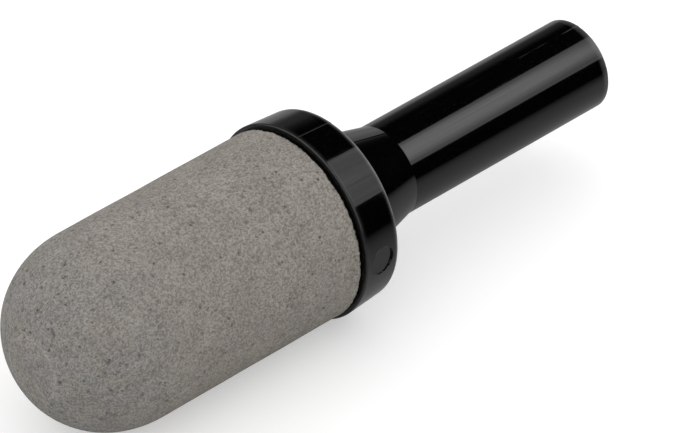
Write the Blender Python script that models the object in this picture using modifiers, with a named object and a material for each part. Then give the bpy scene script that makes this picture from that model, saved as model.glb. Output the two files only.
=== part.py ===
"""Plug-in pneumatic silencer, in metres, +Z up.

Two pieces make the object: a plug housing moulded in one shot (stem, neck and collar) and the porous cup
that its collar holds. Both are turned about one line, which lies along world X. The origin is the centre
of the stem's end face, +X points out of the stem, and the dome of the cup points along -X.
"""

import math

import bpy

MM = 0.001

# Driving dimensions of the plug housing.
STEM_DIAMETER = 8.0 * MM
STEM_LENGTH = 22.5 * MM
STEM_WALL = 1.0 * MM
STEM_EDGE_RADIUS = 0.18 * MM
BORE_EDGE_CHAMFER = 0.2 * MM
NECK_LENGTH = 6.4 * MM
NECK_HALF_ANGLE = math.radians(13.8)
COLLAR_SIDE_LENGTH = 3.6 * MM
COLLAR_REAR_DIAMETER = 16.7 * MM
COLLAR_FRONT_DIAMETER = 17.25 * MM
COLLAR_REAR_EDGE_RADIUS = 0.2 * MM
COLLAR_LIP_CHAMFER = 0.15 * MM
SOCKET_DIAMETER = 15.0 * MM
SOCKET_DEPTH = 2.55 * MM
BORE_MOUTH_DIAMETER = 9.0 * MM

# Driving dimensions of the porous cup.
CUP_DIAMETER = 16.65 * MM
CUP_LENGTH = 28.2 * MM
CUP_WALL = 2.3 * MM
CUP_EDGE_CHAMFER = 0.2 * MM
DOME_HEIGHT = 8.7 * MM
DOME_FULLNESS = 2.11

# Clearance between the two pieces, all round the spigot and in front of the lip.
FIT_GAP = 0.25 * MM

# The round recess that the mould's gate leaves on the side of the collar.
GATE_DIAMETER = 2.5 * MM
GATE_DEPTH = 0.2 * MM
GATE_FROM_RIM = 1.7 * MM
GATE_ANGLE = math.radians(-87.5)

TURNED_STEPS = 64
EDGE_STEPS = 3
DOME_STEPS = 12
GATE_STEPS = 32
MERGE_DISTANCE = 0.00001


def clear_scene():
    for obj in list(bpy.data.objects):
        bpy.data.objects.remove(obj, do_unlink=True)


def new_collection(name):
    collection = bpy.data.collections.new(name)
    bpy.context.scene.collection.children.link(collection)
    return collection


def plastic(name, colour, roughness):
    """A plain moulded finish: colour as linear RGB, no metal in it."""
    material = bpy.data.materials.new(name)
    material.use_nodes = True
    shader = material.node_tree.nodes["Principled BSDF"]
    shader.inputs["Base Color"].default_value = (*colour, 1.0)
    shader.inputs["Roughness"].default_value = roughness
    shader.inputs["Metallic"].default_value = 0.0
    return material


def rounded_edge(radius, centre_r, centre_z, start_degrees, end_degrees):
    """Points (r, z) along an arc, its angles counted from the outward direction towards +z."""
    points = []
    for step in range(EDGE_STEPS + 1):
        angle = math.radians(start_degrees + (end_degrees - start_degrees) * step / EDGE_STEPS)
        points.append((centre_r + radius * math.cos(angle), centre_z + radius * math.sin(angle)))
    return points


def dome_curve(radius, height, base_z):
    """Points (r, z) from the dome's base down to its pole, a superellipse a little fuller than a circle."""
    points = []
    for step in range(DOME_STEPS + 1):
        angle = 0.5 * math.pi * step / DOME_STEPS
        across = max(math.cos(angle), 0.0) ** (2.0 / DOME_FULLNESS)
        along = math.sin(angle) ** (2.0 / DOME_FULLNESS)
        points.append((radius * across, base_z - height * along))
    points[-1] = (0.0, base_z - height)
    return points


def turned_piece(name, profile, closed, parent, along, collection, material):
    """A profile of (r, z) points turned about the parent's Z axis, placed at the distance along it."""
    mesh = bpy.data.meshes.new(name)
    count = len(profile)
    edges = [(i, (i + 1) % count) for i in range(count if closed else count - 1)]
    mesh.from_pydata([(r, 0.0, z) for r, z in profile], edges, [])
    mesh.materials.append(material)
    obj = bpy.data.objects.new(name, mesh)
    collection.objects.link(obj)
    obj.parent = parent
    obj.location = (0.0, 0.0, along)
    screw = obj.modifiers.new("turn", "SCREW")
    screw.axis = "Z"
    screw.angle = 2.0 * math.pi
    screw.steps = TURNED_STEPS
    screw.render_steps = TURNED_STEPS
    screw.use_merge_vertices = True
    screw.merge_threshold = MERGE_DISTANCE
    screw.use_smooth_shade = True
    return obj


def even_shading(obj):
    """Weighted normals, so that the flats stay flat beside the narrow rounded edges."""
    normals = obj.modifiers.new("shading", "WEIGHTED_NORMAL")
    normals.keep_sharp = True


# Stations along the turning line, counted from the stem's end face towards the dome.
CREASE_Z = -STEM_LENGTH
SHOULDER_Z = CREASE_Z - NECK_LENGTH
RIM_Z = SHOULDER_Z - COLLAR_SIDE_LENGTH
LIP_Z = RIM_Z - COLLAR_LIP_CHAMFER
SOCKET_FLOOR_Z = LIP_Z + SOCKET_DEPTH
CUP_SHOULDER_Z = LIP_Z - FIT_GAP


def housing_profile():
    """The closed section of the housing: outer side from the stem's end to the lip, then back inside."""
    stem_radius = STEM_DIAMETER / 2
    bore_radius = stem_radius - STEM_WALL
    neck_root_radius = stem_radius + NECK_LENGTH * math.tan(NECK_HALF_ANGLE)
    rear_radius = COLLAR_REAR_DIAMETER / 2
    front_radius = COLLAR_FRONT_DIAMETER / 2
    rear_round = COLLAR_REAR_EDGE_RADIUS
    stem_end = rounded_edge(
        STEM_EDGE_RADIUS, stem_radius - STEM_EDGE_RADIUS, -STEM_EDGE_RADIUS, 90, 0
    )
    rear_edge = rounded_edge(rear_round, rear_radius - rear_round, SHOULDER_Z - rear_round, 90, 0)
    outside = stem_end + [(stem_radius, CREASE_Z), (neck_root_radius, SHOULDER_Z)] + rear_edge
    lip = [(front_radius, RIM_Z), (front_radius - COLLAR_LIP_CHAMFER, LIP_Z), (SOCKET_DIAMETER / 2, LIP_Z)]
    inside = [
        (SOCKET_DIAMETER / 2, SOCKET_FLOOR_Z),
        (BORE_MOUTH_DIAMETER / 2, SOCKET_FLOOR_Z),
        (bore_radius, CREASE_Z),
        (bore_radius, -BORE_EDGE_CHAMFER),
        (bore_radius + BORE_EDGE_CHAMFER, 0.0),
    ]
    return outside + lip + inside


def cup_profile():
    """The open section of the cup: from the pole of its hollow, round the spigot, to the pole of its dome."""
    outer_radius = CUP_DIAMETER / 2
    inner_radius = outer_radius - CUP_WALL
    spigot_radius = SOCKET_DIAMETER / 2 - FIT_GAP
    spigot_length = SOCKET_DEPTH
    dome_base_z = DOME_HEIGHT - CUP_LENGTH
    hollow = dome_curve(inner_radius, DOME_HEIGHT - CUP_WALL, dome_base_z)
    spigot = [
        (inner_radius, spigot_length),
        (spigot_radius - CUP_EDGE_CHAMFER, spigot_length),
        (spigot_radius, spigot_length - CUP_EDGE_CHAMFER),
        (spigot_radius, 0.0),
        (outer_radius, 0.0),
    ]
    return hollow[::-1] + spigot + dome_curve(outer_radius, DOME_HEIGHT, dome_base_z)


def gate_cutter(parent, collection):
    """A short cylinder pointing out of the collar's side, which sinks the gate's round recess."""
    draft = COLLAR_FRONT_DIAMETER - COLLAR_REAR_DIAMETER
    side_radius = (COLLAR_FRONT_DIAMETER - draft * GATE_FROM_RIM / COLLAR_SIDE_LENGTH) / 2
    height = GATE_DIAMETER
    bpy.ops.mesh.primitive_cylinder_add(
        vertices=GATE_STEPS, radius=GATE_DIAMETER / 2, depth=height
    )
    cutter = bpy.context.object
    cutter.name = "gate_recess_cutter"
    for holder in cutter.users_collection:
        holder.objects.unlink(cutter)
    collection.objects.link(cutter)
    distance = side_radius - GATE_DEPTH + height / 2
    cutter.parent = parent
    cutter.location = (
        distance * math.cos(GATE_ANGLE),
        distance * math.sin(GATE_ANGLE),
        RIM_Z + GATE_FROM_RIM,
    )
    cutter.rotation_euler = (0.0, math.pi / 2, GATE_ANGLE)
    cutter.hide_render = True
    cutter.display_type = "WIRE"
    return cutter


clear_scene()
silencer = new_collection("pneumatic_silencer")
cutters = new_collection("cutters")

turning_line = bpy.data.objects.new("turning_line", None)
turning_line.rotation_euler = (0.0, math.pi / 2, 0.0)
silencer.objects.link(turning_line)

black_plastic = plastic("black_moulded_plastic", (0.012, 0.012, 0.013), 0.18)
grey_porous = plastic("grey_sintered_plastic", (0.30, 0.285, 0.255), 0.9)

plug_housing = turned_piece(
    "plug_housing", housing_profile(), True, turning_line, 0.0, silencer, black_plastic
)
recess = plug_housing.modifiers.new("gate_recess", "BOOLEAN")
recess.operation = "DIFFERENCE"
recess.solver = "EXACT"
recess.object = gate_cutter(turning_line, cutters)
even_shading(plug_housing)

porous_cup = turned_piece(
    "porous_cup", cup_profile(), False, turning_line, CUP_SHOULDER_Z, silencer, grey_porous
)
even_shading(porous_cup)
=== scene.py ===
import itertools

import bpy
import numpy as np
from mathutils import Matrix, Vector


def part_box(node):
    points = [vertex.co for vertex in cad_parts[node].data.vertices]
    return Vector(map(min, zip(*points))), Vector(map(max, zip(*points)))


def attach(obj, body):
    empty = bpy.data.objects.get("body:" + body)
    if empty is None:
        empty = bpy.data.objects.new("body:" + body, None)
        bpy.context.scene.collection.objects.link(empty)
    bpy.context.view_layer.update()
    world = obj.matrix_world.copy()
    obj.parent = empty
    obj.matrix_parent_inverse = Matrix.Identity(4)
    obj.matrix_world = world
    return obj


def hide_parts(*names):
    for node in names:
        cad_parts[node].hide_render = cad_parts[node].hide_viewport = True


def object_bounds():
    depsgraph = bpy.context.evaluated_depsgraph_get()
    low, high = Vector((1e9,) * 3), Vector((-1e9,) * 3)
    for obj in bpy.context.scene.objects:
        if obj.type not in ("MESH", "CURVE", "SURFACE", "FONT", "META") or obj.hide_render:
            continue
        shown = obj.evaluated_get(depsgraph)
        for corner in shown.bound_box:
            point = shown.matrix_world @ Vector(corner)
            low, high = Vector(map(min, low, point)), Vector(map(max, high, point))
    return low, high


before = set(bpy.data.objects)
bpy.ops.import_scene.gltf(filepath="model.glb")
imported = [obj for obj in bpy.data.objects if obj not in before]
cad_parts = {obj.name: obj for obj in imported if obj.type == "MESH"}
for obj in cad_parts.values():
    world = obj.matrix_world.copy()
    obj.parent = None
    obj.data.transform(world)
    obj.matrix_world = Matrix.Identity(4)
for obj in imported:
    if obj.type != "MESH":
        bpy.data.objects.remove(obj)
cad_low, cad_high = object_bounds()

# ---------------------------------------------------------------- plug housing
# The hollow push-in plug: stem, flared neck and collar in one shot of glossy
# black plastic, from a mould in two halves that leaves a round recess in the
# collar's side. The porous cup is pressed into the socket in the collar.

MM = 0.001

housing_low, housing_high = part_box("plug_housing")
STEM_END = housing_high.x
LIP_PLANE = housing_low.x
RIM_RADIUS = housing_high.z

STEM_RADIUS = 4.0 * MM
STEM_LENGTH = 22.5 * MM
NECK_LENGTH = 6.4 * MM
NECK_ROOT_RADIUS = 5.572 * MM
COLLAR_REAR_RADIUS = 8.35 * MM
SOCKET_RADIUS = 7.5 * MM
SOCKET_DEPTH = 2.55 * MM
BORE_RADIUS = 3.0 * MM
BORE_MOUTH_RADIUS = 4.5 * MM
BORE_CHAMFER = 0.2 * MM

STEM_CHAMFER = 0.24 * MM
STEM_EDGE_ROUND = 0.06 * MM
REAR_EDGE_ROUND = 0.2 * MM
LIP_EDGE_ROUND = 0.15 * MM
CORNER_ROUND = 0.1 * MM
CREASE_ROUND = 0.3 * MM

ARC_STEPS = 5
SHADING_HOLD = 0.02 * MM
FINE_PITCH = 0.046 * MM
COARSE_PITCH = 0.6 * MM
WEAR_AND_HIGHLIGHT_REACH = 0.22 * MM

crease_x = STEM_END - STEM_LENGTH
shoulder_x = crease_x - NECK_LENGTH
socket_floor_x = LIP_PLANE + SOCKET_DEPTH

# Each corner is x, radius, rounding, the pitch of the side that follows it, and its wear, which also
# sets a painted highlight along the rounded edge.
housing_corners = np.array(
    [
        (STEM_END, STEM_RADIUS - STEM_CHAMFER, STEM_EDGE_ROUND, COARSE_PITCH, 0.75),
        (STEM_END - STEM_CHAMFER, STEM_RADIUS, STEM_EDGE_ROUND, COARSE_PITCH, 0.3),
        (crease_x, STEM_RADIUS, CREASE_ROUND, COARSE_PITCH / 2, 0.0),
        (shoulder_x, NECK_ROOT_RADIUS, CORNER_ROUND, COARSE_PITCH, 0.0),
        (shoulder_x, COLLAR_REAR_RADIUS, REAR_EDGE_ROUND, FINE_PITCH, 0.9),
        (LIP_PLANE, RIM_RADIUS, LIP_EDGE_ROUND, COARSE_PITCH, 0.09),
        (LIP_PLANE, SOCKET_RADIUS, CORNER_ROUND / 2, COARSE_PITCH, 0.1),
        (socket_floor_x, SOCKET_RADIUS, CORNER_ROUND / 2, COARSE_PITCH, 0.0),
        (socket_floor_x, BORE_MOUTH_RADIUS, CORNER_ROUND / 2, COARSE_PITCH, 0.0),
        (crease_x, BORE_RADIUS, CORNER_ROUND, COARSE_PITCH * 2, 0.0),
        (STEM_END - BORE_CHAMFER, BORE_RADIUS, CORNER_ROUND / 4, COARSE_PITCH, 0.0),
        (STEM_END, BORE_RADIUS + BORE_CHAMFER, CORNER_ROUND / 4, COARSE_PITCH, 0.25),
    ]
)


def rounded_outline(corners, steps, hold):
    """Closed outline of a turned piece as rows of (x, radius).

    Each corner becomes an arc that touches both sides that meet there. It starts its rounding
    over the tangent of half the corner's angle away from the corner, and its centre lies on the
    line that halves that angle. Each side is then divided at its pitch, with one more row at
    the hold distance from either end, so that the arc's shading doesn't spread over the flat."""
    place, rounding, pitch = corners[:, :2], corners[:, 2:3], corners[:, 3]
    back = np.roll(place, 1, axis=0) - place
    ahead = np.roll(place, -1, axis=0) - place
    back /= np.linalg.norm(back, axis=1, keepdims=True)
    ahead /= np.linalg.norm(ahead, axis=1, keepdims=True)
    half = np.arccos(np.sum(back * ahead, axis=1, keepdims=True)) / 2
    start = place + back * rounding / np.tan(half)
    end = place + ahead * rounding / np.tan(half)
    halfway = (back + ahead) / np.linalg.norm(back + ahead, axis=1, keepdims=True)
    centre = place + halfway * rounding / np.sin(half)
    turn = (np.pi - 2 * half)[:, :, None]
    along = np.linspace(0, 1, steps + 1)[None, :, None]
    arcs = centre[:, None] + (
        np.sin((1 - along) * turn) * (start - centre)[:, None]
        + np.sin(along * turn) * (end - centre)[:, None]
    ) / np.sin(turn)
    rows = []
    for corner, following in enumerate(np.roll(start, -1, axis=0)):
        length = np.linalg.norm(following - end[corner])
        count = max(2, int(round(length / pitch[corner])))
        marks = np.concatenate([[hold], np.linspace(0, length, count + 1)[1:-1], [length - hold]])
        side = end[corner] + (following - end[corner]) * (marks / length)[:, None]
        rows += [arcs[corner], side]
    return np.concatenate(rows)


def edge_wear_and_highlight(outline, corners, reach):
    """How worn each row is, with its painted edge highlight: every corner's own wear, fading as a bell
    with the distance to it.
    """
    away = np.linalg.norm(outline[:, None] - corners[None, :, :2], axis=2)
    return (corners[None, :, 4] * np.exp(-((away / reach) ** 2))).max(axis=1)


housing_outline = rounded_outline(housing_corners, ARC_STEPS, SHADING_HOLD)
housing_wear_and_highlight = edge_wear_and_highlight(housing_outline, housing_corners, WEAR_AND_HIGHLIGHT_REACH)

PARTING_ANGLES = np.radians([-4.0, 176.0])
PIN_ANGLE = np.radians(-92.5)
PIN_X = LIP_PLANE + 1.85 * MM
PIN_RADIUS = 1.25 * MM
PIN_DEPTH = 0.175 * MM
PIN_TILT = 0.07
PIN_WALL = 0.02 * MM
PIN_PULL = 0.07 * MM
PIN_SPAN = 0.5
HOUSING_COLUMNS = 366
CROWDED_WIDTHS = np.radians([1.2, 1.2, 10.0])
CROWDED_WEIGHTS = [9.0, 9.0, 2.6]
DENSITY_STEPS = 40000


def crowded_angles(count, centres, widths, weights):
    """Angles once round, closer together near each centre: the density is one plus a flat-topped
    bell of the given weight and width at each centre, and its running sum is turned back into
    angles at equal shares of the whole."""
    fine = np.linspace(-np.pi, np.pi, DENSITY_STEPS + 1)
    density = np.ones_like(fine)
    for centre, width, weight in zip(centres, widths, weights):
        away = np.angle(np.exp(1j * (fine - centre)))
        density += weight * np.exp(-((away / width) ** 4))
    total = np.concatenate([[0], np.cumsum((density[1:] + density[:-1]) / 2)])
    return np.interp(np.arange(count) / count * total[-1], total, fine)


housing_angles = crowded_angles(
    HOUSING_COLUMNS, [*PARTING_ANGLES, PIN_ANGLE], CROWDED_WIDTHS, CROWDED_WEIGHTS
)

FLASH_HEIGHT = 0.03 * MM
FLASH_WIDTH = 0.05 * MM
FLASH_MEAN = 0.45
FLASH_SWING = 0.25
FLASH_WAVES = (0.61 * MM, 1.73 * MM)
FLASH_AT_END = 0.35
FLASH_END_REACH = 5 * MM
FLASH_ON_COLLAR = 0.85
MOULD_MISMATCH = 0.006 * MM


def gathered_at_pin(outline, angles):
    """The grid's places along the axis and round it, which lie on the pin's face and which at its
    wall.

    Places near the pin's circle are pulled straight to or from its middle onto one of two
    circles a wall's width apart, so that the step between them is one clean round wall."""
    x = outline[:, :1] + np.zeros(len(angles))
    radius = outline[:, 1:] + np.zeros(len(angles))
    round_it = angles + np.zeros_like(x)
    on_collar = (x > LIP_PLANE + LIP_EDGE_ROUND) & (x < shoulder_x - REAR_EDGE_ROUND)
    on_collar &= radius > COLLAR_REAR_RADIUS - MOULD_MISMATCH
    across = radius * np.angle(np.exp(1j * (round_it - PIN_ANGLE)))
    from_pin = np.hypot(x - PIN_X, across)
    side = np.where(from_pin < PIN_RADIUS, -1, 1)
    near_circle = on_collar & (np.abs(from_pin - PIN_RADIUS) < PIN_PULL)
    pull = np.where(near_circle, (PIN_RADIUS + side * PIN_WALL / 2) / from_pin, 1.0)
    x = PIN_X + (x - PIN_X) * pull
    round_it = np.where(near_circle, PIN_ANGLE + across * pull / radius, round_it)
    return x, radius, round_it, on_collar & (side < 0), near_circle


def housing_relief(x, radius, angles, on_pin):
    """Height that moulding leaves on the housing's outside, along the surface normal.

    The flash is a bell across each parting line, broken up along the stem by a product of two
    sines and stronger near the stem's end. One half of the mould stands out by the mismatch. The
    ejector pin's face is flat and sat a little askew, so its plane gets deeper towards the stem.
    The angle from the pin is clipped where it no longer matters, so that its cosine stays well
    above zero."""
    height = np.zeros_like(x)
    for angle in PARTING_ANGLES:
        across = radius * np.angle(np.exp(1j * (angles - angle)))
        waves = np.sin(x / FLASH_WAVES[0]) * np.sin(x / FLASH_WAVES[1] + angle)
        broken = FLASH_MEAN + FLASH_SWING * waves
        broken += FLASH_AT_END * np.exp((x - STEM_END) / FLASH_END_REACH)
        broken = np.where(x < shoulder_x, FLASH_ON_COLLAR, broken)
        height += FLASH_HEIGHT * broken * np.exp(-((across / FLASH_WIDTH) ** 2))
    first_half = np.sin(angles - PARTING_ANGLES[0]) * radius / FLASH_WIDTH
    height += MOULD_MISMATCH * np.tanh(first_half)
    pin_radius = np.interp(PIN_X, [LIP_PLANE, shoulder_x], [RIM_RADIUS, COLLAR_REAR_RADIUS])
    pin_depth = PIN_DEPTH + PIN_TILT * (x - PIN_X)
    turned_away = np.clip(angles - PIN_ANGLE, -PIN_SPAN, PIN_SPAN)
    return np.where(on_pin, (pin_radius - pin_depth) / np.cos(turned_away) - radius, height)


def row_normals(outline):
    """Outward direction of each row of a closed outline: the line from the row before to the row
    after, turned a quarter."""
    tangent = np.roll(outline, -1, axis=0) - np.roll(outline, 1, axis=0)
    tangent /= np.linalg.norm(tangent, axis=1, keepdims=True)
    return np.stack([tangent[:, 1], -tangent[:, 0]], axis=1)


def turned(x, radius, angles):
    """Points of a turned surface about the X axis: at angle a a row of this radius lies at y =
    radius sin a and z = radius cos a, so angle 0 is the top and 90 degrees faces +Y."""
    return np.stack([x, radius * np.sin(angles), radius * np.cos(angles)], axis=-1)


def ring_faces(rows, columns, closed):
    """Quads of a grid whose columns run once round, and whose last row meets its first if it is
    closed. The corners run along the columns first, so that the faces look outwards."""
    here = np.arange(rows if closed else rows - 1)[:, None] * columns
    ahead = (here + columns) % (rows * columns)
    column = np.arange(columns)[None]
    following = (column + 1) % columns
    return np.stack(
        [here + column, here + following, ahead + following, ahead + column], axis=-1
    ).reshape(-1, 4)


def new_piece(name, points, quads, triangles=()):
    """Smooth mesh object at the origin, from its points and faces."""
    mesh = bpy.data.meshes.new(name)
    mesh.from_pydata(points.tolist(), [], [*quads.tolist(), *np.asarray(triangles).tolist()])
    mesh.shade_smooth()
    mesh.update()
    piece = bpy.data.objects.new(name, mesh)
    bpy.context.scene.collection.objects.link(piece)
    return piece


def add_attribute(piece, name, values):
    """Stores one number for each vertex, for the material to read."""
    attribute = piece.data.attributes.new(name, "FLOAT", "POINT")
    attribute.data.foreach_set("value", np.ascontiguousarray(values, np.float32).ravel())


outside = (np.arange(len(housing_outline)) <= np.argmin(housing_outline[:, 0]))[:, None]
x, radius, round_it, on_pin, at_wall = gathered_at_pin(housing_outline, housing_angles)
relief = housing_relief(x, radius, round_it, on_pin) * outside
normals = row_normals(housing_outline)
housing_points = turned(
    x + normals[:, :1] * relief, radius + normals[:, 1:] * relief, round_it
).reshape(-1, 3)
# The lip's own plane and the stem's end stay the longest points.
housing_points[:, 0] = np.clip(housing_points[:, 0], LIP_PLANE, STEM_END)

housing = new_piece(
    "plug_housing_moulded",
    housing_points,
    ring_faces(len(housing_outline), HOUSING_COLUMNS, closed=True),
)
# Only the wall round the pin's face keeps its two sharp rims.
edges = np.empty(2 * len(housing.data.edges), np.int32)
housing.data.edges.foreach_get("vertices", edges)
edges = edges.reshape(-1, 2)
on_rim = at_wall.ravel()[edges].all(axis=1) & (on_pin.ravel()[edges].sum(axis=1) != 1)
sharp = housing.data.attributes.new("sharp_edge", "BOOLEAN", "EDGE")
sharp.data.foreach_set("value", on_rim)
add_attribute(housing, "edge", np.broadcast_to(housing_wear_and_highlight[:, None], relief.shape))


def link(tree, source, target):
    tree.links.new(source, target)


def new_node(tree, kind, **settings):
    """A shader node with its properties set."""
    node = tree.nodes.new(kind)
    for name, value in settings.items():
        setattr(node, name, value)
    return node


def arithmetic(tree, operation, first, second, third=None):
    """A Math node on sockets or plain numbers."""
    node = new_node(tree, "ShaderNodeMath", operation=operation)
    for socket, value in zip(node.inputs, (first, second, third)):
        if isinstance(value, bpy.types.NodeSocket):
            link(tree, value, socket)
        elif value is not None:
            socket.default_value = value
    return node.outputs[0]


def remapped(tree, value, low, high, to_low=0.0, to_high=1.0):
    """The value's place between low and high, eased at both ends, put between two new limits."""
    node = new_node(tree, "ShaderNodeMapRange", interpolation_type="SMOOTHSTEP")
    link(tree, value, node.inputs["Value"])
    for name, number in zip(("From Min", "From Max", "To Min", "To Max"), (low, high, to_low, to_high)):
        if isinstance(number, bpy.types.NodeSocket):
            link(tree, number, node.inputs[name])
        else:
            node.inputs[name].default_value = number
    return node.outputs["Result"]


def mixed(tree, factor, first, second):
    """Colour between two colours or colour sockets."""
    node = new_node(tree, "ShaderNodeMix", data_type="RGBA")
    link(tree, factor, node.inputs[0])
    for socket, value in zip(node.inputs[6:8], (first, second)):
        if isinstance(value, bpy.types.NodeSocket):
            link(tree, value, socket)
        else:
            socket.default_value = (*value, 1.0)
    return node.outputs[2]


def new_group(name, inputs, outputs):
    """An empty shader node group with float or vector inputs and outputs."""
    group = bpy.data.node_groups.new(name, "ShaderNodeTree")
    for socket, kind in inputs:
        group.interface.new_socket(socket, in_out="INPUT", socket_type=kind)
    for socket, kind in outputs:
        group.interface.new_socket(socket, in_out="OUTPUT", socket_type=kind)
    return group, group.nodes.new("NodeGroupInput"), group.nodes.new("NodeGroupOutput")


VECTOR, NUMBER = "NodeSocketVector", "NodeSocketFloat"
SPECK_SIZES = (0.8, 0.4)
CLOUD_DETAIL = 4.0
CLOUD_ROUGHNESS = 0.6
NOISE_RANGE = (0.3, 0.7)

# Scattered specks: one cell in so many holds a round speck, as with dust, pores or pale grains.
specks_group, specks_in, specks_out = new_group(
    "scattered_specks",
    [("Vector", VECTOR), ("Scale", NUMBER), ("Share", NUMBER), ("Radius", NUMBER)],
    [("Mask", NUMBER)],
)
cells = new_node(specks_group, "ShaderNodeTexVoronoi", voronoi_dimensions="3D")
link(specks_group, specks_in.outputs["Vector"], cells.inputs["Vector"])
link(specks_group, specks_in.outputs["Scale"], cells.inputs["Scale"])
cell_number = new_node(specks_group, "ShaderNodeSeparateColor")
link(specks_group, cells.outputs["Color"], cell_number.inputs[0])
chosen = arithmetic(
    specks_group, "LESS_THAN", cell_number.outputs[0], specks_in.outputs["Share"]
)
own_radius = arithmetic(
    specks_group, "MULTIPLY", specks_in.outputs["Radius"],
    arithmetic(specks_group, "MULTIPLY_ADD", cell_number.outputs[1], *SPECK_SIZES),
)
round_speck = remapped(specks_group, cells.outputs["Distance"], own_radius, 0.0)
link(
    specks_group,
    arithmetic(specks_group, "MULTIPLY", chosen, round_speck),
    specks_out.inputs["Mask"],
)

# Clouds: slow change over a surface, from the melt's flow, handling and the firing.
clouds_group, clouds_in, clouds_out = new_group(
    "slow_clouds",
    [("Vector", VECTOR), ("Scale", NUMBER), ("Low", NUMBER), ("High", NUMBER)],
    [("Value", NUMBER)],
)
cloud = new_node(clouds_group, "ShaderNodeTexNoise", noise_dimensions="3D")
cloud.inputs["Detail"].default_value = CLOUD_DETAIL
cloud.inputs["Roughness"].default_value = CLOUD_ROUGHNESS
link(clouds_group, clouds_in.outputs["Vector"], cloud.inputs["Vector"])
link(clouds_group, clouds_in.outputs["Scale"], cloud.inputs["Scale"])
link(
    clouds_group,
    remapped(
        clouds_group, cloud.outputs["Fac"], *NOISE_RANGE,
        clouds_in.outputs["Low"], clouds_in.outputs["High"],
    ),
    clouds_out.inputs["Value"],
)


def placed(tree, group, vector, **values):
    """The first output of a node group placed in a material."""
    node = new_node(tree, "ShaderNodeGroup", node_tree=group)
    link(tree, vector, node.inputs["Vector"])
    for name, value in values.items():
        node.inputs[name].default_value = value
    return node.outputs[0]


def new_material(name):
    """A material with nothing but its Principled shader, and its Object coordinates."""
    material = bpy.data.materials.new(name)
    material.use_nodes = True
    tree = material.node_tree
    shader = tree.nodes["Principled BSDF"]
    coordinates = tree.nodes.new("ShaderNodeTexCoord")
    return material, tree, shader, coordinates.outputs["Object"]


PER_MM = 1 / MM
PLASTIC_IOR = 1.5
PLASTIC_BLACK = (0.0006, 0.0006, 0.0007)
PLASTIC_WORN_AND_LIT = (0.32, 0.3, 0.305)
DUST = (0.11, 0.107, 0.1)
SCUFF_STRETCH = 0.02
SCUFF_PITCH = 0.13
SCUFF_DETAIL = 2.0
SCUFF_RANGE = (0.56, 0.72)
SCUFF_DULLS = 0.07
SCUFF_SINKS = -0.1
WEAR_DULLS = 0.03
PEEL_PITCH = 0.7
PEEL_DETAIL = 3.0
DUST_STANDS = 0.08
SKIN_STRENGTH = 0.35
SKIN_HEIGHT = 0.004 * MM

housing_material, tree, shader, place = new_material("black_moulded_plastic")
shader.inputs["IOR"].default_value = PLASTIC_IOR
edge = new_node(tree, "ShaderNodeAttribute", attribute_name="edge").outputs["Fac"]
worn_and_lit_patch = placed(tree, clouds_group, place, Scale=PER_MM / 1.4, Low=0.6, High=1.0)
wear_and_highlight = arithmetic(tree, "MULTIPLY", edge, worn_and_lit_patch)
dust = placed(tree, specks_group, place, Scale=PER_MM / 0.16, Share=0.3, Radius=0.5)
dusty = placed(tree, clouds_group, place, Scale=PER_MM / 3.0, Low=0.0, High=0.1)
# Edges are painted pale grey, most at the collar's rear rim and the stem's end: partly real wear,
# partly a painted highlight along the rounded edge.
clean = mixed(tree, wear_and_highlight, PLASTIC_BLACK, PLASTIC_WORN_AND_LIT)
link(
    tree,
    mixed(tree, arithmetic(tree, "MULTIPLY", dust, dusty), clean, DUST),
    shader.inputs["Base Color"],
)
# Fine scuffs run along the stem, the way it slides into its fitting.
stretched = new_node(tree, "ShaderNodeMapping")
stretched.inputs["Scale"].default_value = (SCUFF_STRETCH, 1.0, 1.0)
link(tree, place, stretched.inputs["Vector"])
scuff = new_node(tree, "ShaderNodeTexNoise", noise_dimensions="3D")
scuff.inputs["Scale"].default_value = PER_MM / SCUFF_PITCH
scuff.inputs["Detail"].default_value = SCUFF_DETAIL
link(tree, stretched.outputs[0], scuff.inputs["Vector"])
scuffed = remapped(tree, scuff.outputs["Fac"], *SCUFF_RANGE)
gloss = placed(tree, clouds_group, place, Scale=PER_MM / 2.2, Low=0.055, High=0.085)
roughness = arithmetic(tree, "MULTIPLY_ADD", scuffed, SCUFF_DULLS, gloss)
link(tree, arithmetic(tree, "MULTIPLY_ADD", wear_and_highlight, WEAR_DULLS, roughness), shader.inputs["Roughness"])
# A slight moulding texture lies under the scuffs and the dust.
peel = new_node(tree, "ShaderNodeTexNoise", noise_dimensions="3D")
peel.inputs["Scale"].default_value = PER_MM / PEEL_PITCH
peel.inputs["Detail"].default_value = PEEL_DETAIL
link(tree, place, peel.inputs["Vector"])
skin = arithmetic(tree, "MULTIPLY_ADD", scuffed, SCUFF_SINKS, peel.outputs["Fac"])
skin = arithmetic(tree, "MULTIPLY_ADD", dust, DUST_STANDS, skin)
skin_bump = new_node(tree, "ShaderNodeBump")
skin_bump.inputs["Strength"].default_value = SKIN_STRENGTH
skin_bump.inputs["Distance"].default_value = SKIN_HEIGHT
link(tree, skin, skin_bump.inputs["Height"])
link(tree, skin_bump.outputs[0], shader.inputs["Normal"])

housing.data.materials.append(housing_material)
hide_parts("plug_housing")
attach(housing, "root")

# ------------------------------------------------------------------ porous cup
# The silencing element: a thick-walled cup of sintered plastic granules with a
# domed end. Granules are poured into a mould and heated until they fuse, which
# leaves pores between them. Its stepped mouth is pressed into the socket.

cup_low, cup_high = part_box("porous_cup")
APEX_X = cup_low.x
MOUTH_X = cup_high.x
CUP_RADIUS = cup_high.z

CUP_LENGTH = 28.2 * MM
DOME_HEIGHT = 8.7 * MM
DOME_FULLNESS = 2.11
CUP_WALL = 2.3 * MM
SPIGOT_RADIUS = 7.25 * MM
CUP_EDGE = 0.2 * MM

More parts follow.
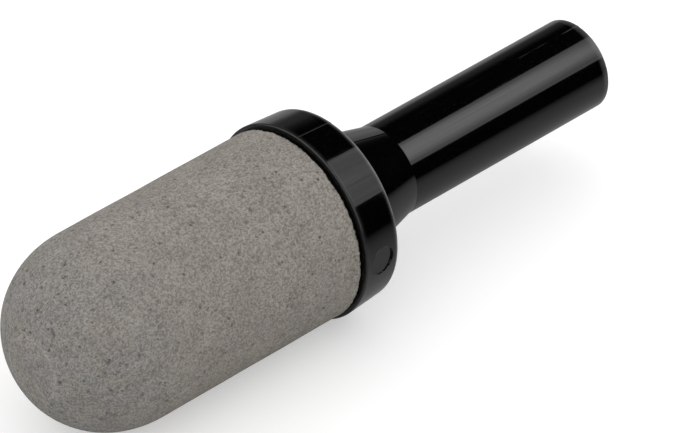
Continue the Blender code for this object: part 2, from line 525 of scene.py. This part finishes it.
CUP_COLUMNS = 372
EDGE_ROWS = 2
SPIGOT_ROWS = 4
SHOULDER_ROWS = 7
SIDE_ROWS = 138
DOME_ROWS = 98
HOLLOW_DOME_ROWS = 10
HOLLOW_SIDE_ROWS = 3
BEND_STEPS = 2000

dome_base_x = APEX_X + DOME_HEIGHT
cup_shoulder_x = APEX_X + CUP_LENGTH
hollow_radius = CUP_RADIUS - CUP_WALL


def dome_rows(radius, height, base_x, count):
    """Rows of a dome from its base to just short of its pole. A superellipse joins them: the
    share of the height and the share of the radius, each to the power of the fullness, add up
    to one. The rows are put at even lengths along the curve."""
    bend = np.linspace(0, np.pi / 2, BEND_STEPS + 1)
    x = base_x - height * np.sin(bend) ** (2 / DOME_FULLNESS)
    r = radius * np.cos(bend) ** (2 / DOME_FULLNESS)
    length = np.concatenate([[0], np.cumsum(np.hypot(np.diff(x), np.diff(r)))])
    marks = np.arange(count) / count * length[-1]
    return np.stack([np.interp(marks, length, x), np.interp(marks, length, r)], axis=1)


def straight_rows(start, end, count):
    """Rows at even steps from the start up to, but not at, the end, each an (x, radius)."""
    share = np.arange(count)[:, None] / count
    return np.array(start) * (1 - share) + np.array(end) * share


cup_outline = np.concatenate(
    [
        straight_rows((MOUTH_X, hollow_radius), (MOUTH_X, SPIGOT_RADIUS - CUP_EDGE), EDGE_ROWS),
        straight_rows(
            (MOUTH_X, SPIGOT_RADIUS - CUP_EDGE), (MOUTH_X - CUP_EDGE, SPIGOT_RADIUS), EDGE_ROWS
        ),
        straight_rows(
            (MOUTH_X - CUP_EDGE, SPIGOT_RADIUS), (cup_shoulder_x, SPIGOT_RADIUS), SPIGOT_ROWS
        ),
        straight_rows(
            (cup_shoulder_x, SPIGOT_RADIUS),
            (cup_shoulder_x, CUP_RADIUS - CUP_EDGE),
            SHOULDER_ROWS,
        ),
        straight_rows(
            (cup_shoulder_x, CUP_RADIUS - CUP_EDGE),
            (cup_shoulder_x - CUP_EDGE, CUP_RADIUS),
            EDGE_ROWS,
        ),
        straight_rows(
            (cup_shoulder_x - CUP_EDGE, CUP_RADIUS), (dome_base_x, CUP_RADIUS), SIDE_ROWS
        ),
        dome_rows(CUP_RADIUS, DOME_HEIGHT, dome_base_x, DOME_ROWS),
    ]
)
hollow_outline = np.concatenate(
    [
        dome_rows(hollow_radius, DOME_HEIGHT - CUP_WALL, dome_base_x, HOLLOW_DOME_ROWS)[::-1],
        straight_rows((dome_base_x, hollow_radius), (MOUTH_X, hollow_radius), HOLLOW_SIDE_ROWS)[1:],
    ]
)


def hashed(cube, salt):
    """A number between 0 and 1 for each whole-numbered cube, mixed from its three numbers by
    multiplying by large primes and folding the high bits back onto the low ones."""
    primes = np.array([73856093, 19349663, 83492791], np.int64)
    mixed_up = (cube * primes).sum(axis=-1) + salt * 40503
    for shift, prime in ((15, 2246822519), (13, 3266489917), (16, 668265263)):
        mixed_up = (mixed_up ^ (mixed_up >> shift)) * prime & 0xFFFFFFFF
    return (mixed_up ^ (mixed_up >> 11)) / 0xFFFFFFFF % 1.0


def nearest_granule(points, size, salt):
    """Distance from each point to the nearest granule's middle, in sizes, and that granule's own
    number. Each cube of the given size holds one middle at a hashed place in it, and a point
    looks through the 27 cubes round its own."""
    scaled = points / size
    home = np.floor(scaled).astype(np.int64)
    nearest = np.full(len(points), np.inf)
    number = np.zeros(len(points))
    for step in itertools.product((-1, 0, 1), repeat=3):
        cube = home + np.array(step)
        middle = cube + np.stack([hashed(cube, salt + axis) for axis in range(3)], axis=-1)
        away = np.linalg.norm(scaled - middle, axis=1)
        closer = away < nearest
        nearest = np.where(closer, away, nearest)
        number = np.where(closer, hashed(cube, salt + 3), number)
    return nearest, number


GRANULE = 0.27 * MM
GRANULE_RELIEF = 0.014 * MM
GRANULE_SPREAD = (0.6, 0.8)
PIT_SPACING = 0.75 * MM
PIT_DEPTH = 0.12 * MM
PIT_RADIUS = 0.26
PIT_SPREAD = (0.45, 0.55)
CHIP_SIZE = 0.3 * MM
CHIP_DEPTH = 0.22 * MM
CHIP_REACH = 0.17 * MM
CHIP_BOWL = (1.4, 1.5)
CHIPS_SPARED = 0.3
SLOW_SWELL = 0.02 * MM
SWELL_MEAN = 0.5
SWELL_SWING = 0.25
SWELL_FIRST = (0.9, 0.7)
SWELL_SECOND = (1.1, 0.6)
RING_RADIUS = 2.7 * MM
RING_WIDTH = 0.16 * MM
RING_HEIGHT = 0.065 * MM
RING_TROUGH = 0.8 * MM
RING_SMOOTHS = 0.5
SCRATCH_FROM = np.array([-59.90, -1.50, 4.20]) * MM
SCRATCH_TO = np.array([-60.02, -1.95, 3.80]) * MM
SCRATCH_WIDTH = 0.1 * MM
SCRATCH_DEPTH = 0.12 * MM
MOUTH_REACH = 0.3 * MM


def cup_surface(points):
    """How far the fused surface lies under the smooth one, and masks of pores, ring and mouth.

    Each granule is a low rounded bump, as its depth grows with the square of the distance from
    its middle. Where a pit's middle comes close to the surface, a bowl is sunk. Two sines give
    the mould's slow swell. Granules have chipped off the mouth's edge in bowls that fade with the
    distance from it. The ring that the mould's insert leaves round the pole is a narrow bell
    that stands in a wide one sunk into the dome, and a scratch is a bell across a short line."""
    near, number = nearest_granule(points, GRANULE, salt=11)
    own_relief = GRANULE_SPREAD[0] + GRANULE_SPREAD[1] * number
    depth = GRANULE_RELIEF * np.minimum(near, 1.0) ** 2 * own_relief
    pit, pit_number = nearest_granule(points, PIT_SPACING, salt=47)
    own_radius = PIT_RADIUS * (PIT_SPREAD[0] + PIT_SPREAD[1] * pit_number)
    bowl = np.clip(1 - (pit / own_radius) ** 2, 0, 1)
    depth += PIT_DEPTH * bowl
    x, y, z = points.T / MM
    first_wave = np.sin(SWELL_FIRST[0] * x + SWELL_FIRST[1] * z)
    second_wave = np.sin(SWELL_SECOND[0] * y - SWELL_SECOND[1] * x)
    depth += SLOW_SWELL * (SWELL_MEAN + SWELL_SWING * first_wave + SWELL_SWING * second_wave)
    chip, chip_number = nearest_granule(points, CHIP_SIZE, salt=83)
    by_edge = np.exp(-(((points[:, 0] - cup_shoulder_x) / CHIP_REACH) ** 2))
    chipped = by_edge * np.clip(CHIP_BOWL[0] - CHIP_BOWL[1] * chip, 0, 1)
    chipped *= chip_number > CHIPS_SPARED
    depth += CHIP_DEPTH * chipped
    from_axis = np.hypot(points[:, 1], points[:, 2])
    on_dome = points[:, 0] < dome_base_x
    ring_bell = on_dome * np.exp(-(((from_axis - RING_RADIUS) / RING_WIDTH) ** 2))
    trough = on_dome * np.exp(-(((from_axis - RING_RADIUS) / RING_TROUGH) ** 2))
    inside_ring = on_dome * np.clip((RING_RADIUS - from_axis) / RING_WIDTH, 0, 1)
    depth = depth * (1 - RING_SMOOTHS * inside_ring) + RING_HEIGHT * trough * (1 - ring_bell)
    along = SCRATCH_TO - SCRATCH_FROM
    share = np.clip((points - SCRATCH_FROM) @ along / (along @ along), 0, 1)[:, None]
    from_scratch = np.linalg.norm(points - SCRATCH_FROM - share * along, axis=1)
    scratch = np.exp(-((from_scratch / SCRATCH_WIDTH) ** 2))
    depth += SCRATCH_DEPTH * scratch
    # The pore mask, of pits, chipped bowls and the scratch, marks the hollows that the material darkens
    # with painted shade.
    pore = np.maximum(np.maximum(bowl * (1 - inside_ring), chipped), scratch)
    mouth = np.clip(1 - (cup_shoulder_x - points[:, 0]) / MOUTH_REACH, 0, 1)
    return depth, pore, ring_bell, mouth


cup_angles = np.linspace(-np.pi, np.pi, CUP_COLUMNS, endpoint=False)
whole_outline = np.concatenate([cup_outline, [(APEX_X, 0.0)], hollow_outline])
cup_normals = row_normals(whole_outline)[: len(cup_outline)]
outer_points = turned(cup_outline[:, :1] + np.zeros(CUP_COLUMNS), cup_outline[:, 1:], cup_angles)
outer_normals = turned(cup_normals[:, :1] + np.zeros(CUP_COLUMNS), cup_normals[:, 1:], cup_angles)
outer_depth, *cup_masks = cup_surface(outer_points.reshape(-1, 3))
in_socket = cup_outline[:, 0] > cup_shoulder_x - CUP_EDGE / 2
in_socket &= cup_outline[:, 1] < CUP_RADIUS - 2 * CUP_EDGE
shown = np.repeat(1.0 - in_socket, CUP_COLUMNS)
outer_points = outer_points.reshape(-1, 3) - outer_normals.reshape(-1, 3) * (
    np.clip(outer_depth, 0, None) * shown
)[:, None]
hollow_points = turned(
    hollow_outline[:, :1] + np.zeros(CUP_COLUMNS), hollow_outline[:, 1:], cup_angles
).reshape(-1, 3)

outer_rows, hollow_rows = len(cup_outline), len(hollow_outline)
ring = np.arange(CUP_COLUMNS)
outer_pole = (outer_rows + hollow_rows) * CUP_COLUMNS
hollow_pole = outer_pole + 1
last_outer = (outer_rows - 1) * CUP_COLUMNS
first_hollow = outer_rows * CUP_COLUMNS
last_hollow = first_hollow + (hollow_rows - 1) * CUP_COLUMNS
following = (ring + 1) % CUP_COLUMNS
cup_points = np.concatenate(
    [
        outer_points,
        hollow_points,
        [(outer_points[last_outer:, 0].mean(), 0, 0), (APEX_X + CUP_WALL, 0, 0)],
    ]
)
cup_quads = np.concatenate(
    [
        ring_faces(outer_rows, CUP_COLUMNS, closed=False),
        ring_faces(hollow_rows, CUP_COLUMNS, closed=False) + first_hollow,
        np.stack([last_hollow + ring, last_hollow + following, following, ring], axis=-1),
    ]
)
cup_triangles = np.concatenate(
    [
        np.stack([last_outer + ring, last_outer + following, np.full_like(ring, outer_pole)], -1),
        np.stack(
            [first_hollow + following, first_hollow + ring, np.full_like(ring, hollow_pole)], -1
        ),
    ]
)
cup = new_piece("porous_cup_sintered", cup_points, cup_quads, cup_triangles)
for mask_name, mask in zip(("pore", "ring", "mouth"), cup_masks):
    on_cup = np.zeros(len(cup_points))
    on_cup[: len(mask)] = mask * shown
    add_attribute(cup, mask_name, on_cup)

SINTER_IOR = 1.45
SINTER_SPECULAR = 0.25
SINTER_GREY = (0.252, 0.232, 0.207)
SINTER_COOL = (0.239, 0.230, 0.217)
PALE_GRANULE = (0.40, 0.385, 0.345)
PORE_SHADE = (0.055, 0.05, 0.044)
COOL_FROM = dome_base_x + 3 * MM
COOL_TO = APEX_X + 1.5 * MM
COOL_RANGE = (0.05, 0.85)
RING_PALE = 0.3
GRAIN_PITCH = 0.125
GRAIN_NUMBERS = (-0.2, 1.2)
GRAIN_TONES = (0.68, 1.36)
PALE_SEEN = 0.6
DEEP_PORE_SEEN = 0.95
PIT_SEEN = 0.7
PORE_SINKS = -0.9
GRAIN_STRENGTH = 0.7
GRAIN_HEIGHT = 0.04 * MM

cup_material, tree, shader, place = new_material("grey_sintered_plastic")
shader.inputs["IOR"].default_value = SINTER_IOR
shader.inputs["Specular IOR Level"].default_value = SINTER_SPECULAR
# The dome's end, next to the hot insert, comes out a little cooler in colour, in patches.
along_cup = new_node(tree, "ShaderNodeSeparateXYZ")
link(tree, place, along_cup.inputs[0])
near_pole = remapped(tree, along_cup.outputs["X"], COOL_FROM, COOL_TO, *COOL_RANGE)
cool_patch = placed(tree, clouds_group, place, Scale=PER_MM / 3.2, Low=0.0, High=1.6)
cool = arithmetic(tree, "MINIMUM", arithmetic(tree, "MULTIPLY", near_pole, cool_patch), 1.0)
body_colour = mixed(tree, cool, SINTER_GREY, SINTER_COOL)
ring_seen = new_node(tree, "ShaderNodeAttribute", attribute_name="ring").outputs["Fac"]
ring_seen = arithmetic(tree, "MULTIPLY", ring_seen, RING_PALE)
body_colour = mixed(tree, ring_seen, body_colour, PALE_GRANULE)
# Each granule has its own tone. Some are pale, and the pores between them come in two sizes, darkened
# with painted shade.
granules = new_node(tree, "ShaderNodeTexVoronoi", voronoi_dimensions="3D")
granules.inputs["Scale"].default_value = PER_MM / GRAIN_PITCH
link(tree, place, granules.inputs["Vector"])
granule_number = new_node(tree, "ShaderNodeSeparateColor")
link(tree, granules.outputs["Color"], granule_number.inputs[0])
shade = new_node(tree, "ShaderNodeMix", data_type="RGBA", blend_type="MULTIPLY")
shade.inputs[0].default_value = 1.0
link(tree, body_colour, shade.inputs[6])
tone = remapped(tree, granule_number.outputs[0], *GRAIN_NUMBERS, *GRAIN_TONES)
uneven = placed(tree, clouds_group, place, Scale=PER_MM / 2.4, Low=0.93, High=1.07)
link(tree, arithmetic(tree, "MULTIPLY", tone, uneven), shade.inputs[7])
pale = placed(tree, specks_group, place, Scale=PER_MM / 0.26, Share=0.1, Radius=0.5)
pale = arithmetic(tree, "MULTIPLY", pale, PALE_SEEN)
lighter = mixed(tree, pale, shade.outputs[2], PALE_GRANULE)
fine_pores = placed(tree, specks_group, place, Scale=PER_MM / 0.2, Share=0.1, Radius=0.6)
sunk_pits = new_node(tree, "ShaderNodeAttribute", attribute_name="pore").outputs["Fac"]
deep_pores = placed(tree, specks_group, place, Scale=PER_MM / 0.42, Share=0.085, Radius=0.5)
porous_patch = placed(tree, clouds_group, place, Scale=PER_MM / 3.6, Low=0.25, High=0.85)
# Within the mouth's reach of the shoulder, beside the collar's lip, dense specks of painted shade
# darken the cup's chipped edge.
mouth_pore_shade = arithmetic(
    tree, "MULTIPLY",
    placed(tree, specks_group, place, Scale=PER_MM / 0.22, Share=0.45, Radius=0.8),
    new_node(tree, "ShaderNodeAttribute", attribute_name="mouth").outputs["Fac"],
)
fine_pores = arithmetic(
    tree, "MAXIMUM", arithmetic(tree, "MULTIPLY", fine_pores, porous_patch), mouth_pore_shade
)
pore_shade_mask = arithmetic(
    tree, "MAXIMUM", fine_pores,
    arithmetic(
        tree, "MAXIMUM", arithmetic(tree, "MULTIPLY", deep_pores, DEEP_PORE_SEEN),
        arithmetic(tree, "MULTIPLY", sunk_pits, PIT_SEEN),
    ),
)
# Pores, sunk pits, chipped bowls, the scratch and the specks by the mouth are darkened with painted
# shade.
link(tree, mixed(tree, pore_shade_mask, lighter, PORE_SHADE), shader.inputs["Base Color"])
link(
    tree,
    placed(tree, clouds_group, place, Scale=PER_MM / 0.4, Low=0.82, High=0.98),
    shader.inputs["Roughness"],
)
rounded = arithmetic(tree, "MULTIPLY", granules.outputs["Distance"], -1.0)
sunk = arithmetic(tree, "MULTIPLY_ADD", fine_pores, PORE_SINKS, rounded)
granule_bump = new_node(tree, "ShaderNodeBump")
granule_bump.inputs["Strength"].default_value = GRAIN_STRENGTH
granule_bump.inputs["Distance"].default_value = GRAIN_HEIGHT
link(tree, sunk, granule_bump.inputs["Height"])
link(tree, granule_bump.outputs[0], shader.inputs["Normal"])

cup.data.materials.append(cup_material)
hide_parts("porous_cup")
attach(cup, "root")

# ----------------------------------------------------------------------- studio
# A pale table that the muffler lies on, one large softbox, and even light from a
# pale room. In mirrored rays the room is dark apart from a few glows, and the table
# is dim away from the muffler, so that the black plastic keeps its depth.

FLOOR_RADIUS = 1.6
FLOOR_COLOUR = (0.72, 0.72, 0.716)
FLOOR_IN_GLOSS = (0.56, 0.56, 0.565)
FLOOR_FAR_IN_GLOSS = (0.4, 0.4, 0.405)
FLOOR_DARK_IN_GLOSS = (0.0, 0.0, 0.0)
FLOOR_GLOSS_REACH = 70 * MM
FLOOR_AHEAD_IN_GLOSS = (1.0, 1.0, 1.0)
FLOOR_AHEAD_REACH = (5 * MM, 26 * MM)
FLOOR_AHEAD_WIDTH = (26 * MM, 10 * MM)
FLOOR_GLOW = 0.4
FLOOR_BOUNCE = (0.71, 0.71, 0.705)
FLOOR_SIDES = 96
FLOOR_LONG = 0.5
FLOOR_FAR_WAY = (0.6, 0.8, 0.0)
FLOOR_FAR_REACH = (0.35, 0.75)

object_centre = (np.array(cad_low) + np.array(cad_high)) / 2
floor_height = cad_low.z
around = np.linspace(0, 2 * np.pi, FLOOR_SIDES, endpoint=False)
floor_rim = np.stack(
    [
        object_centre[0] + FLOOR_RADIUS * np.cos(around),
        object_centre[1] + FLOOR_RADIUS * np.sin(around),
        np.full(FLOOR_SIDES, floor_height),
    ],
    axis=-1,
)
floor_mesh = bpy.data.meshes.new("table_top")
floor_mesh.from_pydata(floor_rim.tolist(), [], [list(range(FLOOR_SIDES))])
floor = bpy.data.objects.new("table_top", floor_mesh)
bpy.context.scene.collection.objects.link(floor)
floor_material, tree, shader, place = new_material("pale_table")
shader.inputs["Specular IOR Level"].default_value = 0.0
# The colour that mirrored rays see: bright round the muffler, an even grey far behind it, and
# white on a strip past the stem's end. The first vector is squeezed along X, the muffler's length.
seen_by = new_node(tree, "ShaderNodeLightPath")
for_bounce = mixed(tree, seen_by.outputs["Is Diffuse Ray"], FLOOR_COLOUR, FLOOR_BOUNCE)
squeezed = new_node(tree, "ShaderNodeVectorMath", operation="MULTIPLY_ADD")
link(tree, place, squeezed.inputs[0])
squeezed.inputs[1].default_value = (FLOOR_LONG, 1.0, 0.0)
squeezed.inputs[2].default_value = (-FLOOR_LONG * object_centre[0], -object_centre[1], 0.0)
flat_place = new_node(tree, "ShaderNodeVectorMath", operation="MULTIPLY_ADD")
link(tree, place, flat_place.inputs[0])
flat_place.inputs[1].default_value = (1.0, 1.0, 0.0)
flat_place.inputs[2].default_value = (-object_centre[0], -object_centre[1], 0.0)
from_object = new_node(tree, "ShaderNodeVectorMath", operation="LENGTH")
link(tree, squeezed.outputs[0], from_object.inputs[0])
lit_part = remapped(tree, from_object.outputs["Value"], FLOOR_GLOSS_REACH, 0.0)
heading = new_node(tree, "ShaderNodeVectorMath", operation="NORMALIZE")
link(tree, flat_place.outputs[0], heading.inputs[0])
far_heading = new_node(tree, "ShaderNodeVectorMath", operation="DOT_PRODUCT")
link(tree, heading.outputs[0], far_heading.inputs[0])
far_heading.inputs[1].default_value = FLOOR_FAR_WAY
far_part = remapped(tree, far_heading.outputs["Value"], *FLOOR_FAR_REACH)
far_shade = mixed(tree, far_part, FLOOR_DARK_IN_GLOSS, FLOOR_FAR_IN_GLOSS)
close_shade = mixed(tree, far_part, FLOOR_IN_GLOSS, FLOOR_FAR_IN_GLOSS)
near_shade = mixed(tree, lit_part, far_shade, close_shade)
floor_parts = new_node(tree, "ShaderNodeSeparateXYZ")
link(tree, place, floor_parts.inputs[0])
off_axis = arithmetic(tree, "ABSOLUTE", floor_parts.outputs["Y"], 0.0)
ahead_part = arithmetic(
    tree, "MULTIPLY",
    remapped(tree, floor_parts.outputs["X"], *(STEM_END + reach for reach in FLOOR_AHEAD_REACH)),
    remapped(tree, off_axis, *FLOOR_AHEAD_WIDTH),
)
gloss_shade = mixed(tree, ahead_part, near_shade, FLOOR_AHEAD_IN_GLOSS)
link(
    tree,
    arithmetic(tree, "MULTIPLY", seen_by.outputs["Is Camera Ray"], FLOOR_GLOW),
    shader.inputs["Emission Strength"],
)
shader.inputs["Emission Color"].default_value = (1.0, 1.0, 1.0, 1.0)
link(
    tree,
    mixed(tree, seen_by.outputs["Is Glossy Ray"], for_bounce, gloss_shade),
    shader.inputs["Base Color"],
)
link(
    tree,
    placed(tree, clouds_group, place, Scale=PER_MM / 40, Low=0.85, High=0.95),
    shader.inputs["Roughness"],
)
floor.data.materials.append(floor_material)

SOFTBOX_AWAY = 450 * MM
SOFTBOX_FACING = np.array([0.658, -0.418, 0.627])
SOFTBOX_ALONG = np.array([0.005, 0.834, 0.551])
SOFTBOX_CORNERS = np.array([(-0.611, -0.38), (0.397, -0.38), (0.397, 0.22), (-0.365, 0.22)])
SOFTBOX_MIDDLE = 2.78
SOFTBOX_FALL = -12.1
SOFTBOX_DIM = 1.15
SOFTBOX_WEAVE = 24.0
SOFTBOX_UNEVEN = (0.86, 1.14)
SOFTBOX_DIM_REACH = (-0.05, 0.035)
SOFTBOX_COLOUR = (0.985, 1.0, 0.985, 1.0)

facing = SOFTBOX_FACING / np.linalg.norm(SOFTBOX_FACING)
along = SOFTBOX_ALONG - facing * (SOFTBOX_ALONG @ facing)
along /= np.linalg.norm(along)
beside = np.cross(along, facing)
# The sheet's corners are given as shares of its distance, along it and beside it. It glows most
# in the middle, falling with the square of the place along it, and evenly on its far half.
softbox_corners = object_centre + SOFTBOX_AWAY * (
    facing + SOFTBOX_CORNERS[:, :1] * along + SOFTBOX_CORNERS[:, 1:] * beside
)
softbox_mesh = bpy.data.meshes.new("softbox")
softbox_mesh.from_pydata(softbox_corners.tolist(), [], [(0, 1, 2, 3)])
softbox_sheet = softbox_mesh.uv_layers.new(name="sheet")
softbox_sheet.data.foreach_set("uv", SOFTBOX_CORNERS.ravel().tolist())
softbox = bpy.data.objects.new("softbox", softbox_mesh)
bpy.context.scene.collection.objects.link(softbox)
softbox.visible_camera = False
softbox.visible_shadow = False
softbox_material = bpy.data.materials.new("softbox_cloth")
softbox_material.use_nodes = True
tree = softbox_material.node_tree
tree.nodes.remove(tree.nodes["Principled BSDF"])
sheet_place = new_node(tree, "ShaderNodeUVMap", uv_map="sheet")
on_sheet = new_node(tree, "ShaderNodeSeparateXYZ")
link(tree, sheet_place.outputs[0], on_sheet.inputs[0])
squared = arithmetic(tree, "MULTIPLY", on_sheet.outputs["X"], on_sheet.outputs["X"])
hot = arithmetic(tree, "MULTIPLY_ADD", squared, SOFTBOX_FALL, SOFTBOX_MIDDLE)
hot = arithmetic(tree, "MAXIMUM", hot, SOFTBOX_DIM)
weave = new_node(tree, "ShaderNodeTexNoise", noise_dimensions="2D")
weave.inputs["Scale"].default_value = SOFTBOX_WEAVE
link(tree, sheet_place.outputs[0], weave.inputs["Vector"])
glow_strength = new_node(tree, "ShaderNodeMix", data_type="FLOAT")
link(
    tree, remapped(tree, on_sheet.outputs["Y"], *SOFTBOX_DIM_REACH), glow_strength.inputs[0]
)
link(tree, hot, glow_strength.inputs[2])
glow_strength.inputs[3].default_value = SOFTBOX_DIM
woven = remapped(tree, weave.outputs["Fac"], *NOISE_RANGE, *SOFTBOX_UNEVEN)
glow = new_node(tree, "ShaderNodeEmission")
glow.inputs["Color"].default_value = SOFTBOX_COLOUR
link(
    tree, arithmetic(tree, "MULTIPLY", glow_strength.outputs[0], woven), glow.inputs["Strength"]
)
link(tree, glow.outputs[0], tree.nodes["Material Output"].inputs["Surface"])
softbox.data.materials.append(softbox_material)

LIT_SIDE = (-0.33, 0.6, 0.73)
LIT_SIDE_REACH = (-0.6, 1.0)
ROOM_LIGHT_LOW = 0.9
ROOM_LIGHT_HIGH = 1.35
ROOM_SEEN = 1.2
HORIZON_GLOW = 0.3
HORIZON_REACH = (-0.08, 0.18)
HAZE_GLOW = 0.13
HAZE_REACH = (0.25, 0.52)
FAR_SIDE = (0.6, 0.8, 0.0)
FAR_SIDE_REACH = (0.62, 0.92)
WINDOW_TOWARDS = (0.80, 0.58, 0.15)
WINDOW_REACH = (0.96, 1.004)
WINDOW_GLOW = 0.6
AHEAD_GLOW = 1.3
AHEAD_REACH = (0.9, 0.94)
FILL_GLOW = 1.5
FILL_REACH = (-0.2, -0.5)

world = bpy.data.worlds.new("studio_room")
bpy.context.scene.world = world
world.use_nodes = True
tree = world.node_tree
tree.nodes.clear()
direction = new_node(tree, "ShaderNodeTexCoord").outputs["Generated"]
parts = new_node(tree, "ShaderNodeSeparateXYZ")
link(tree, direction, parts.inputs[0])
height = parts.outputs["Z"]


def towards(axis):
    """How closely a direction in the room points along an axis."""
    node = new_node(tree, "ShaderNodeVectorMath", operation="DOT_PRODUCT")
    link(tree, direction, node.inputs[0])
    node.inputs[1].default_value = axis
    return node.outputs["Value"]


# What mirrored rays see of the room: the far side's horizon, a window, a fill behind the dome
# and a glow past the stem's end.
horizon = remapped(tree, height, *HORIZON_REACH, HORIZON_GLOW, 0.0)
haze = remapped(tree, height, *HAZE_REACH, HAZE_GLOW, 0.0)
backdrop = arithmetic(
    tree, "MULTIPLY", arithmetic(tree, "ADD", horizon, haze),
    remapped(tree, towards(FAR_SIDE), *FAR_SIDE_REACH),
)
window = remapped(tree, towards(WINDOW_TOWARDS), *WINDOW_REACH, 0.0, WINDOW_GLOW)
fill = remapped(tree, parts.outputs["X"], *FILL_REACH, 0.0, FILL_GLOW)
ahead = remapped(tree, parts.outputs["X"], *AHEAD_REACH, 0.0, AHEAD_GLOW)
in_gloss = arithmetic(
    tree, "ADD", arithmetic(tree, "ADD", backdrop, window), arithmetic(tree, "ADD", fill, ahead)
)
# Diffuse light comes from the whole room, stronger from its lit side, and the camera sees an
# even pale room.
ray = new_node(tree, "ShaderNodeLightPath")
by_ray = new_node(tree, "ShaderNodeMix", data_type="FLOAT")
link(tree, ray.outputs["Is Glossy Ray"], by_ray.inputs[0])
link(
    tree,
    remapped(tree, towards(LIT_SIDE), *LIT_SIDE_REACH, ROOM_LIGHT_LOW, ROOM_LIGHT_HIGH),
    by_ray.inputs[2],
)
link(tree, in_gloss, by_ray.inputs[3])
for_camera = new_node(tree, "ShaderNodeMix", data_type="FLOAT")
link(tree, ray.outputs["Is Camera Ray"], for_camera.inputs[0])
link(tree, by_ray.outputs[0], for_camera.inputs[2])
for_camera.inputs[3].default_value = ROOM_SEEN
background = new_node(tree, "ShaderNodeBackground")
link(tree, for_camera.outputs[0], background.inputs["Strength"])
room_output = new_node(tree, "ShaderNodeOutputWorld")
link(tree, background.outputs[0], room_output.inputs["Surface"])

CAMERA_AIM = np.array([1.41, -2.91, 0.33]) * MM
CAMERA_AWAY = 514.9 * MM
CAMERA_AZIMUTH = np.radians(-44.22)
CAMERA_ELEVATION = np.radians(35.57)
CAMERA_LENS = 330.8
CAMERA_SENSOR = 36.0

back = np.array(
    [
        np.sin(CAMERA_AZIMUTH) * np.cos(CAMERA_ELEVATION),
        -np.cos(CAMERA_AZIMUTH) * np.cos(CAMERA_ELEVATION),
        np.sin(CAMERA_ELEVATION),
    ]
)
camera_data = bpy.data.cameras.new("camera")
camera_data.lens = CAMERA_LENS
camera_data.sensor_width = CAMERA_SENSOR
camera_data.clip_start = 10 * MM
camera_data.clip_end = 10.0
camera = bpy.data.objects.new("camera", camera_data)
bpy.context.scene.collection.objects.link(camera)
camera.location = object_centre + CAMERA_AIM + back * CAMERA_AWAY
camera.rotation_euler = (np.pi / 2 - CAMERA_ELEVATION, 0.0, CAMERA_AZIMUTH)
bpy.context.scene.camera = camera
bpy.context.scene.view_settings.view_transform = "Standard"
